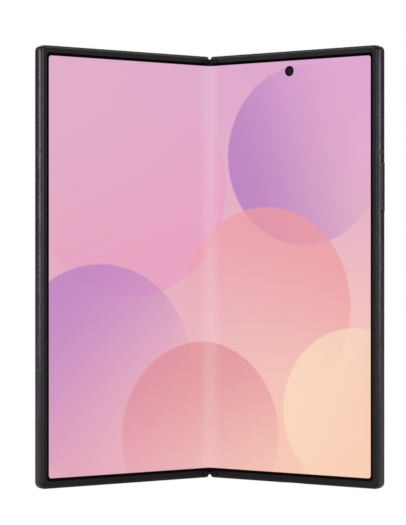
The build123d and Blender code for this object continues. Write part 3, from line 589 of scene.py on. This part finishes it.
@dataclass(frozen=True)
class Picture:
    """Plain picture on the display: a soft wash of colour behind large overlapping discs, with a painted
    sheen, a lighter band along the crease.

    Its sizes are in millimetres from the middle of the crease, on the display laid flat.
    """

    lit_side: float = 68.17
    lit_end: float = 75.4
    corner: float = 1.0
    corner_edge: float = 0.04
    wash_side: float = 70.0
    wash_end: float = 78.0
    left_top: Colour = from_screen(229, 176, 203)
    left_bottom: Colour = from_screen(234, 172, 192)
    right_top: Colour = from_screen(226, 170, 212)
    right_bottom: Colour = from_screen(253, 208, 182)
    # Painted sheen: a lighter band along the crease that stands in for the light the bent display
    # catches.
    crease_light: float = 0.12
    crease_reach: float = 5.2
    crease_core: float = 0.8
    crease_colour: Colour = from_screen(250, 238, 246)
    unlit: Colour = (0.0008, 0.0008, 0.001)
    specular: float = 0.06
    glow: float = 0.97
    discs: tuple[Disc, ...] = (
        Disc((41.0, 41.0), 33.0, from_screen(178, 118, 196), 0.75, 205.0),
        Disc((-34.0, 30.0), 41.0, from_screen(236, 160, 196), 0.7, 300.0),
        Disc((-47.0, -38.0), 39.0, from_screen(190, 130, 200), 0.8, 130.0),
        Disc((24.0, -14.0), 36.0, from_screen(240, 158, 162), 0.75, 65.0),
        Disc((-4.0, -62.0), 34.0, from_screen(226, 140, 150), 0.7, 100.0),
        Disc((62.0, -52.0), 30.0, from_screen(255, 224, 196), 0.7, 150.0),
    )

    def wash(self, shader: Shader, across: object, up: object) -> bpy.types.NodeSocket:
        """Ground colour at a point of the flat display.

        Args:
            shader: the tree to write in.
            across: distance to the right of the crease.
            up: height above the middle.

        Returns:
            The colour.
        """
        sideways = shader.steps(across, -self.wash_side, self.wash_side)
        height = shader.steps(up, -self.wash_end, self.wash_end)
        low = shader.mix(sideways, self.left_bottom, self.right_bottom)
        high = shader.mix(sideways, self.left_top, self.right_top)
        return shader.mix(height, low, high)

    def lay(self, shader: Shader, ground: object, disc: Disc, across: object, up: object
            ) -> bpy.types.NodeSocket:
        """Lays one disc over a ground, full at one side and fading towards the other."""
        x = shader.math("SUBTRACT", across, disc.centre[0])
        y = shader.math("SUBTRACT", up, disc.centre[1])
        distance = shader.math(
            "SQRT", shader.math("ADD", shader.math("MULTIPLY", x, x), shader.math("MULTIPLY", y, y))
        )
        inside = shader.steps(distance, disc.radius + disc.edge, disc.radius - disc.edge)
        heading = math.radians(disc.direction)
        rightward = shader.math("MULTIPLY", x, math.cos(heading))
        upward = shader.math("MULTIPLY", y, math.sin(heading))
        along = shader.math("ADD", rightward, upward)
        fade = shader.steps(along, -disc.radius * 0.9, disc.radius, (0.0, disc.strength))
        return shader.mix(shader.math("MULTIPLY", inside, fade), ground, disc.colour)

    def lit(self, shader: Shader, across: object, up: object) -> bpy.types.NodeSocket:
        """1 on the lit area and 0 on the black border, with rounded corners."""
        beyond = []
        for value, half in ((across, self.lit_side), (up, self.lit_end)):
            over = shader.math("SUBTRACT", shader.math("ABSOLUTE", value), half - self.corner)
            beyond.append(shader.math("MAXIMUM", over, 0.0))
        squares = [shader.math("MULTIPLY", value, value) for value in beyond]
        reach = shader.math("SQRT", shader.math("ADD", *squares))
        return shader.steps(reach, self.corner + self.corner_edge, self.corner - self.corner_edge)

    def material(self, name: str, output: str, offset: Sequence[float], turn: float
                 ) -> bpy.types.Material:
        """Finish of one part of the display.

        Args:
            name: name of the material.
            output: coordinates that it reads, Object or UV.
            offset: the crease's middle in those coordinates.
            turn: turn that lays this part flat, in radians.

        Returns:
            The material.
        """
        shader = Shader(name)
        place = shader.coordinates(output, offset, (0, 0, turn), (1 / MM,) * 3)
        split = shader.node("ShaderNodeSeparateXYZ")
        shader.feed(split.inputs[0], place)
        across, up = split.outputs[0], split.outputs["Y" if output == "UV" else "Z"]
        colour = self.wash(shader, across, up)
        for disc in self.discs:
            colour = self.lay(shader, colour, disc, across, up)
        # Painted sheen: lighten the picture near the crease, in place of the light the bent display
        # catches.
        beside = shader.math("ABSOLUTE", across)
        near = shader.steps(beside, self.crease_reach, self.crease_core, (0.0, self.crease_light))
        colour = shader.mix(near, colour, self.crease_colour)
        lit = self.lit(shader, across, up)
        grain = shader.grain(place, 2.0, 2.0)
        return shader.surface(
            Base_Color=self.unlit,
            Roughness=shader.steps(grain, 0.3, 0.7, (0.12, 0.16)),
            Specular_IOR_Level=self.specular,
            Emission_Color=shader.mix(lit, (0.0, 0.0, 0.0), colour),
            Emission_Strength=self.glow,
        )


@dataclass
class Palette:
    """Every finish of the phone, each built once."""

    fold: FoldFrame
    made: dict[str, bpy.types.Material] = field(default_factory=dict)

    def finishes(self) -> Iterable[Finish]:
        """The finishes of the solid pieces."""
        coil = self.fold.seat(Side.RIGHT) @ Vector((31.1, -8.5, -3.5))
        return (
            AnodisedMetal("graphite_frame", (0.05, 0.042, 0.052), (0.064, 0.054, 0.067), (0.22, 0.28)),
            AnodisedMetal("graphite_keys", (0.058, 0.049, 0.061), (0.072, 0.061, 0.076), (0.22, 0.3)),
            AnodisedMetal("hinge_shell", (0.05, 0.046, 0.054), (0.062, 0.057, 0.067), (0.2, 0.3)),
            AnodisedMetal("lens_metal", (0.06, 0.056, 0.064), (0.075, 0.07, 0.08), (0.2, 0.28), 6000.0),
            MachinedSteel("hinge_steel"),
            MachinedSteel("plate_steel", (0.25, 0.25, 0.27), (0.4, 0.4, 0.42), (1.0, 1.0, 1.0)),
            MachinedSteel("nickel_plate", (0.45, 0.44, 0.42), (0.62, 0.61, 0.58), (0.1, 0.1, 1.0)),
            MouldedPlastic("band_plastic", (0.014, 0.013, 0.015), (0.02, 0.019, 0.021)),
            RimPlastic(
                "rim_plastic", (0.0062, 0.006, 0.0064), (0.0078, 0.0076, 0.008), (0.3, 0.36),
                specular=0.22,
            ),
            MouldedPlastic("module_plastic", (0.012, 0.012, 0.013), (0.02, 0.02, 0.022)),
            MouldedPlastic("flash_window", (0.72, 0.68, 0.5), (0.82, 0.79, 0.66), (0.15, 0.25), 3000.0),
            MouldedPlastic("cell_foil", (0.035, 0.035, 0.038), (0.05, 0.05, 0.054), (0.3, 0.45), 2500.0),
            EtchedGlass("back_velvet", (0.02, 0.019, 0.022), (0.03, 0.028, 0.033)),
            PolishedGlass("black_glass"),
            ClearGlass("lens_cover"),
            CoatedLens("lens_core", (0.004, 0.006, 0.02), (0.05, 0.02, 0.09)),
            MouldedPlastic(
                "camera_ring", (0.0006, 0.0006, 0.0008), (0.001, 0.001, 0.0012), (0.3, 0.4),
                specular=0.04,
            ),
            MouldedPlastic(
                "camera_glass", (0.0075, 0.0072, 0.008), (0.01, 0.0096, 0.0105), (0.2, 0.3),
                specular=0.2,
            ),
            BoardMask("board_mask"),
            WoundCopper("coil_copper", tuple(coil), self.fold.tilt),
        )

    def build(self) -> None:
        """Builds the finishes."""
        for finish in self.finishes():
            self.made[finish.name] = finish.material()
        picture = Picture()
        for side in Side:
            seat = self.fold.seat(side)
            turn = side.value * self.fold.tilt
            name = f"{side.prefix}_picture"
            self.made[name] = picture.material(name, "Object", tuple(seat.translation), turn)
        self.made["strip_picture"] = picture.material("strip_picture", "UV", (0, 0, 0), 0.0)

    def __getitem__(self, name: str) -> bpy.types.Material:
        """The finish of this name."""
        return self.made[name]


# Meshes


def finish_mesh(name: str, form: bmesh.types.BMesh, materials: Sequence[bpy.types.Material],
                body: str | None, smooth_angle: float = 30.0) -> bpy.types.Object:
    """Turns a finished form into a piece that rides on a body.

    Args:
        name: name of the piece.
        form: the form, in metres and in place.
        materials: its finishes, in the order of its faces' indices.
        body: body that it rides on, or None.
        smooth_angle: edges flatter than this are shaded smooth, in degrees.

    Returns:
        The piece.
    """
    limit = math.radians(smooth_angle)
    for face in form.faces:
        face.smooth = True
    for edge in form.edges:
        edge.smooth = len(edge.link_faces) == 2 and edge.calc_face_angle(0.0) < limit
    mesh = bpy.data.meshes.new(name)
    form.to_mesh(mesh)
    form.free()
    for material in materials:
        mesh.materials.append(material)
    piece = bpy.data.objects.new(name, mesh)
    bpy.context.scene.collection.objects.link(piece)
    if body:
        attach(piece, body)
    LOG.info("%s: %d faces", name, len(mesh.polygons))
    return piece


def turned_form(profile: Sequence[tuple[float, float]], steps: int = 64) -> bmesh.types.BMesh:
    """Spins a profile of (radius, height) points about the z axis.

    Args:
        profile: the points, from the axis outwards and back, in millimetres.
        steps: number of steps round the axis.

    Returns:
        The closed form.
    """
    form = bmesh.new()
    points = [form.verts.new((radius, 0, height)) for radius, height in profile]
    edges = [form.edges.new(pair) for pair in zip(points, points[1:])]
    bmesh.ops.spin(
        form, geom=points + edges, cent=(0, 0, 0), axis=(0, 0, 1), angle=math.tau, steps=steps,
        use_merge=True,
    )
    bmesh.ops.remove_doubles(form, verts=form.verts, dist=WELD)
    bmesh.ops.recalc_face_normals(form, faces=form.faces)
    return form


@dataclass
class BendingStrip:
    """Part of the display that crosses the hinge, as one strip on each side of the crease.

    The strips are a little thinner than the flat panels, so that they clear the gear arms
    when the phone lies flat.
    """

    fold: FoldFrame
    steps: int = 12
    rows: int = 24
    thickness: float = 0.42

    @property
    def reach(self) -> float:
        """Width of one strip at rest, seen from the front."""
        fold = self.fold
        return fold.axis_offset + (fold.flex_half - fold.axis_offset) * math.cos(fold.tilt)

    def form(self, side: Side) -> bmesh.types.BMesh:
        """Half of the strip, from the crease to the edge of the flat panel."""
        fold = self.fold
        edge_y = -(fold.flex_half - fold.axis_offset) * math.sin(fold.tilt)
        radius = self.reach / math.sin(fold.tilt)
        centre = Vector((0, fold.fold_y + edge_y - radius * math.cos(fold.tilt), 0))
        form = bmesh.new()
        low, high = fold.panel_margin, fold.height - fold.panel_margin
        line = [
            form.verts.new((0, centre.y + radius, low + (high - low) * row / self.rows))
            for row in range(self.rows + 1)
        ]
        edges = [form.edges.new(pair) for pair in zip(line, line[1:])]
        bmesh.ops.spin(
            form, geom=line + edges, cent=centre, axis=(0, 0, 1), angle=-side.value * fold.tilt,
            steps=self.steps,
        )
        self.unroll(form, side, centre)
        bmesh.ops.recalc_face_normals(form, faces=form.faces)
        if sum(face.normal.y for face in form.faces) > 0:
            bmesh.ops.reverse_faces(form, faces=form.faces)
        front = set(form.faces)
        bmesh.ops.solidify(form, geom=form.faces[:], thickness=self.thickness)
        for face in form.faces:
            face.material_index = 0 if face in front and face.normal.y < -0.5 else 1
        bmesh.ops.scale(form, vec=(MM,) * 3, verts=form.verts)
        return form

    def unroll(self, form: bmesh.types.BMesh, side: Side, centre: Vector) -> None:
        """Writes the flat place of each corner, in metres from the crease's middle."""
        layer = form.loops.layers.uv.new("flat")
        for face in form.faces:
            for loop in face.loops:
                offset = loop.vert.co - centre
                angle = abs(math.atan2(offset.x, offset.y))
                across = side.value * angle / self.fold.tilt * self.fold.flex_half
                loop[layer].uv = (across * MM, (loop.vert.co.z - self.fold.middle) * MM)

    def build(self, palette: Palette) -> None:
        """Builds both strips in place of the solid one."""
        finishes = (palette["strip_picture"], palette["plate_steel"])
        for side in Side:
            strip = finish_mesh(f"{side.prefix}_bending_strip", self.form(side), finishes, None)
            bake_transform(strip)
            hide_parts("display_bend")


@dataclass
class DisplayCamera:
    """Camera that looks through the round hole in the right part of the display."""

    fold: FoldFrame
    across: float = 34.5
    up: float = 71.7
    radius: float = 1.88
    front: float = -0.05
    back: float = -0.5
    window: float = 1.22

    def profile(self) -> Sequence[tuple[float, float]]:
        """Sunk window, its bevel, the flat ring round it and the back."""
        return (
            (0, self.front - 0.1),
            (self.window * 0.5, self.front - 0.105),
            (self.window, self.front - 0.12),
            (self.window + 0.08, self.front - 0.02),
            (self.window + 0.12, self.front),
            (self.radius - 0.03, self.front),
            (self.radius, self.front - 0.04),
            (self.radius, self.back),
            (0, self.back),
        )

    def build(self, palette: Palette) -> None:
        """Builds the black ring with the glass in its window."""
        form = turned_form(self.profile())
        for face in form.faces:
            middle = face.calc_center_median()
            inside = math.hypot(middle.x, middle.y) < self.window * 0.99 and middle.z > self.back + 0.05
            face.material_index = 1 if inside else 0
        place = self.fold.seat(Side.RIGHT) @ Matrix.Translation((self.across, self.up, 0))
        bmesh.ops.transform(form, matrix=place, verts=form.verts)
        finishes = (palette["camera_ring"], palette["camera_glass"])
        piece = finish_mesh("display_camera_window", form, finishes, Side.RIGHT.body)
        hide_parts("inner_camera_lens")


@dataclass
class RearLenses:
    """Glass elements down in the barrels of the three rear cameras."""

    fold: FoldFrame
    across: float = 57.3
    heights: tuple[float, ...] = (65.0, 47.5, 30.0)
    barrel_top: float = -5.05
    floor_radius: float = 2.5
    depth: float = 0.7

    def profile(self) -> Sequence[tuple[float, float]]:
        """Dome, step and seat of one element, with its back towards the display."""
        return (
            (0, 0.42),
            (0.5, 0.4),
            (1.0, 0.32),
            (1.4, 0.2),
            (1.6, 0.12),
            (1.62, 0.3),
            (2.0, 0.32),
            (2.05, 0.2),
            (self.floor_radius - 0.08, 0.22),
            (self.floor_radius - 0.08, 0.01),
            (0, 0.01),
        )

    def build(self, palette: Palette) -> None:
        """Builds one piece that holds the element of each camera."""
        whole = bmesh.new()
        place = self.fold.seat(Side.RIGHT)
        for up in self.heights:
            form = turned_form(self.profile(), 48)
            for face in form.faces:
                middle = face.calc_center_median()
                dome = math.hypot(middle.x, middle.y) < 1.6 and middle.z > 0.1
                face.material_index = 1 if dome else 0
            seat = Matrix.Translation((self.across, up, self.barrel_top + self.depth))
            turn = Matrix.Rotation(math.pi, 4, "Y")
            bmesh.ops.transform(form, matrix=place @ seat @ turn, verts=form.verts)
            mesh = bpy.data.meshes.new("rear_lens_part")
            form.to_mesh(mesh)
            form.free()
            whole.from_mesh(mesh)
            bpy.data.meshes.remove(mesh)
        finishes = (palette["module_plastic"], palette["lens_core"])
        piece = finish_mesh("rear_lens_elements", whole, finishes, Side.RIGHT.body)


@dataclass
class CarriedSolids:
    """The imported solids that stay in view, each with the finish that it gets."""

    nodes: dict[str, bpy.types.Object]
    palette: Palette

    def table(self) -> dict[str, tuple[str, ...]]:
        """Names of the nodes under the finish that they get."""
        halves = [side.prefix for side in Side]
        return {
            "graphite_frame": tuple(f"{half}_frame" for half in halves),
            "graphite_keys": ("volume_rocker", "power_key", "card_tray"),
            "hinge_shell": ("hinge_housing", "hinge_cap_top", "hinge_cap_bottom"),
            "lens_metal": ("camera_island", "lens_rings"),
            "hinge_steel": (
                "hinge_block_upper", "hinge_block_lower", "gear_block", "gear_shafts",
                *(f"{half}_{part}" for half in halves
                  for part in ("arm_upper", "arm_lower", "gear_arm", "arm_screws", "pinion", "idler")),
            ),
            "plate_steel": (
                *(f"{half}_{part}" for half in halves for part in ("wing_plate", "display_backing")),
                "shield_cans", "vibration_motor",
            ),
            "nickel_plate": ("port_shell", "card_reader", "side_switches"),
            "band_plastic": tuple(f"{half}_antenna_bands" for half in halves),
            "rim_plastic": tuple(f"{half}_display_rim" for half in halves),
            "module_plastic": (
                "camera_modules", "inner_camera", "cover_camera", "loudspeaker", "earpiece_speaker",
                "port_tongue",
            ),
            "flash_window": ("flash_lens",),
            "cell_foil": ("left_battery", "right_battery"),
            "back_velvet": ("back_glass",),
            "black_glass": ("cover_glass", "cover_display", "fingerprint_sensor", "inner_camera_lens"),
            "lens_cover": ("lens_glasses",),
            "board_mask": ("main_board", "cover_board"),
            "coil_copper": ("charging_coil",),
            "left_picture": ("left_display_panel",),
            "right_picture": ("right_display_panel",),
            "strip_picture": ("display_bend",),
        }

    def build(self) -> None:
        """Gives each node its finish."""
        left = set(self.nodes)
        for finish, names in self.table().items():
            for name in names:
                slots = self.nodes[name].data.materials
                slots.clear()
                slots.append(self.palette[finish])
                left.discard(name)
        if left:
            raise ValueError(f"no finish for {sorted(left)}")
        LOG.info("finished %d carried solids", len(self.nodes))


# Studio


@dataclass(frozen=True)
class Lamp:
    """One soft lamp: where it stands and its width and height in metres, its power in watts."""

    name: str
    place: tuple[float, float, float]
    size: tuple[float, float]
    power: float


@dataclass
class Studio:
    """Pale floor, soft light and the camera at the photograph's angle.

    The distance is in millimetres from the fold, the shifts and the focal length are in
    pixels of the picture, and the floor's size and the camera's range are in metres.
    """

    fold: FoldFrame
    distance: float = 710.0
    focal_pixels: float = 1889.7
    picture_height: float = 525.0
    shift_right: float = 6.75
    shift_down: float = 4.4
    sensor_width: float = 36.0
    clip_start: float = 0.01
    clip_end: float = 200.0
    floor_size: float = 40.0
    floor_drop: float = 0.02  # millimetres, to keep the floor off the phone's lower edges
    floor_tone: float = 0.45
    floor_glow: float = 1.05
    floor_seen: float = 0.95
    floor_mirrored: float = 0.25
    world_light: float = 0.26
    world_seen: float = 1.0
    lamps: tuple[Lamp, ...] = (
        Lamp("key_lamp", (-0.45, -0.7, 1.5), (1.0, 0.8), 5.0),
        Lamp("overhead_lamp", (0.1, 0.5, 1.5), (1.6, 0.6), 5.0),
        Lamp("left_front_lamp", (-0.55, -1.0, 0.35), (0.4, 0.9), 6.5),
        Lamp("right_front_lamp", (0.55, -1.0, 0.35), (0.4, 0.9), 4.0),
        Lamp("left_strip_lamp", (-1.15, -0.14, 0.46), (0.16, 0.9), 5.6),
        Lamp("right_strip_lamp", (1.15, -0.14, 0.46), (0.16, 0.9), 4.4),
        Lamp("back_lamp", (0.0, 1.2, 0.9), (1.2, 0.8), 6.0),
    )

    def floor(self) -> None:
        """Adds the floor, white to the camera but for a soft share of the object's shadow."""
        form = bmesh.new()
        bmesh.ops.create_grid(form, x_segments=1, y_segments=1, size=self.floor_size)
        bmesh.ops.translate(form, vec=(0, 0, -self.floor_drop * MM), verts=form.verts)
        shader = Shader("studio_floor")
        sight = shader.node("ShaderNodeLightPath")
        camera, through, glossy = (
            sight.outputs[f"Is {kind} Ray"] for kind in ("Camera", "Transmission", "Glossy")
        )
        mirrored = shader.math("MULTIPLY", glossy, self.floor_mirrored)
        seen = shader.math("MAXIMUM", shader.math("MAXIMUM", camera, through), mirrored)
        plain = shader.node("ShaderNodeBsdfDiffuse")
        shader.feed(plain.inputs["Color"], (self.floor_tone,) * 3)
        glow = shader.node("ShaderNodeEmission")
        shader.feed(glow.inputs["Strength"], self.floor_glow)
        blend = shader.node("ShaderNodeMixShader")
        shader.feed(blend.inputs[0], shader.math("MULTIPLY", seen, self.floor_seen))
        shader.feed(blend.inputs[1], plain.outputs[0])
        shader.feed(blend.inputs[2], glow.outputs[0])
        end = shader.node("ShaderNodeOutputMaterial")
        shader.feed(end.inputs[0], blend.outputs[0])
        finish_mesh("studio_floor", form, (shader.material,), None)

    def world(self) -> None:
        """Sets a plain white surround with a gentler light of its own."""
        world = bpy.data.worlds.new("studio_world")
        world.use_nodes = True
        tree = world.node_tree
        tree.nodes.clear()
        sight = tree.nodes.new("ShaderNodeLightPath")
        seen = tree.nodes.new("ShaderNodeMapRange")
        seen.inputs[3].default_value = self.world_light
        seen.inputs[4].default_value = self.world_seen
        tree.links.new(sight.outputs["Is Camera Ray"], seen.inputs[0])
        ground = tree.nodes.new("ShaderNodeBackground")
        ground.inputs[0].default_value = (1.0, 1.0, 1.0, 1.0)
        tree.links.new(seen.outputs[0], ground.inputs[1])
        end = tree.nodes.new("ShaderNodeOutputWorld")
        tree.links.new(ground.outputs[0], end.inputs[0])
        bpy.context.scene.world = world

    def light(self, lamp: Lamp) -> None:
        """Adds one soft lamp that faces the phone.

        Args:
            lamp: the lamp.
        """
        light = bpy.data.lights.new(lamp.name, "AREA")
        light.shape = "RECTANGLE"
        light.size, light.size_y = lamp.size
        light.energy = lamp.power
        fitting = bpy.data.objects.new(lamp.name, light)
        fitting.location = lamp.place
        towards = Vector((0, 0, self.fold.middle * MM)) - Vector(lamp.place)
        fitting.rotation_euler = towards.to_track_quat("-Z", "Y").to_euler()
        bpy.context.scene.collection.objects.link(fitting)

    def camera(self) -> None:
        """Adds the camera, level with the middle of the phone."""
        data = bpy.data.cameras.new("studio_camera")
        data.sensor_fit = "AUTO"
        data.sensor_width = self.sensor_width
        data.lens = data.sensor_width * self.focal_pixels / self.picture_height
        data.shift_x = -self.shift_right / self.picture_height
        data.shift_y = self.shift_down / self.picture_height
        data.clip_start = self.clip_start
        data.clip_end = self.clip_end
        camera = bpy.data.objects.new("studio_camera", data)
        camera.location = (0, (self.fold.fold_y - self.distance) * MM, self.fold.middle * MM)
        camera.rotation_euler = (math.pi / 2, 0, 0)
        bpy.context.scene.collection.objects.link(camera)
        bpy.context.scene.camera = camera

    def build(self) -> None:
        """Builds the studio."""
        self.floor()
        self.world()
        for lamp in self.lamps:
            self.light(lamp)
        self.camera()
        bpy.context.scene.view_settings.view_transform = "Standard"


def main() -> None:
    """Builds every class in order."""
    logging.basicConfig(level=logging.INFO, format="%(name)s: %(message)s")
    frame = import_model()
    fold = FoldFrame()
    palette = Palette(fold)
    palette.build()
    CarriedSolids(frame["nodes"], palette).build()
    BendingStrip(fold).build(palette)
    DisplayCamera(fold).build(palette)
    RearLenses(fold).build(palette)
    Studio(fold).build()


if __name__ == "__main__":
    main()
